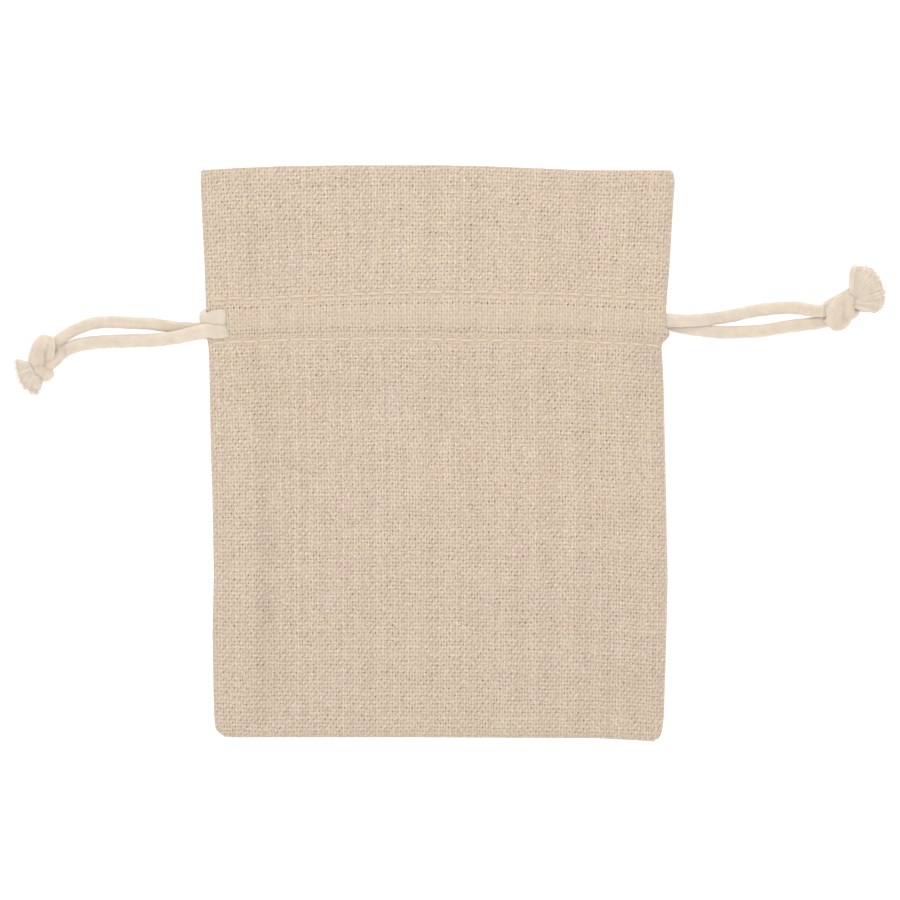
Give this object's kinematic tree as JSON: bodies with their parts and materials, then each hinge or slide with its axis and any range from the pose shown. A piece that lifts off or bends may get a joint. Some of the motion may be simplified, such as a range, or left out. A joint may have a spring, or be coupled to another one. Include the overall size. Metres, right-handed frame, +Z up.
{
  "type": "drawstring gift pouch",
  "caption": "Small flat linen gift pouch with a turned-in header, a stitched casing and a drawstring at each side, each tied in a knot with frayed ends, lying empty.",
  "frame": {"origin": "middle of the underside of the cloth, without the cords, on the surface that the pouch lies on", "axes": "+X to the right across the pouch, +Y from the folded bottom to the mouth, +Z up out of the surface"},
  "size_m": [0.1924, 0.1264, 0.0102],
  "materials": {
    "cloth": "matte plain-woven natural linen and cotton, undyed",
    "cord": "matte soft cotton cord, unbleached"
  },
  "bodies": {
    "root": {"pouch": "cloth", "drawstring_left": "cord", "drawstring_right": "cord", "knot_left": "cord", "knot_right": "cord"}
  },
  "joints": []
}
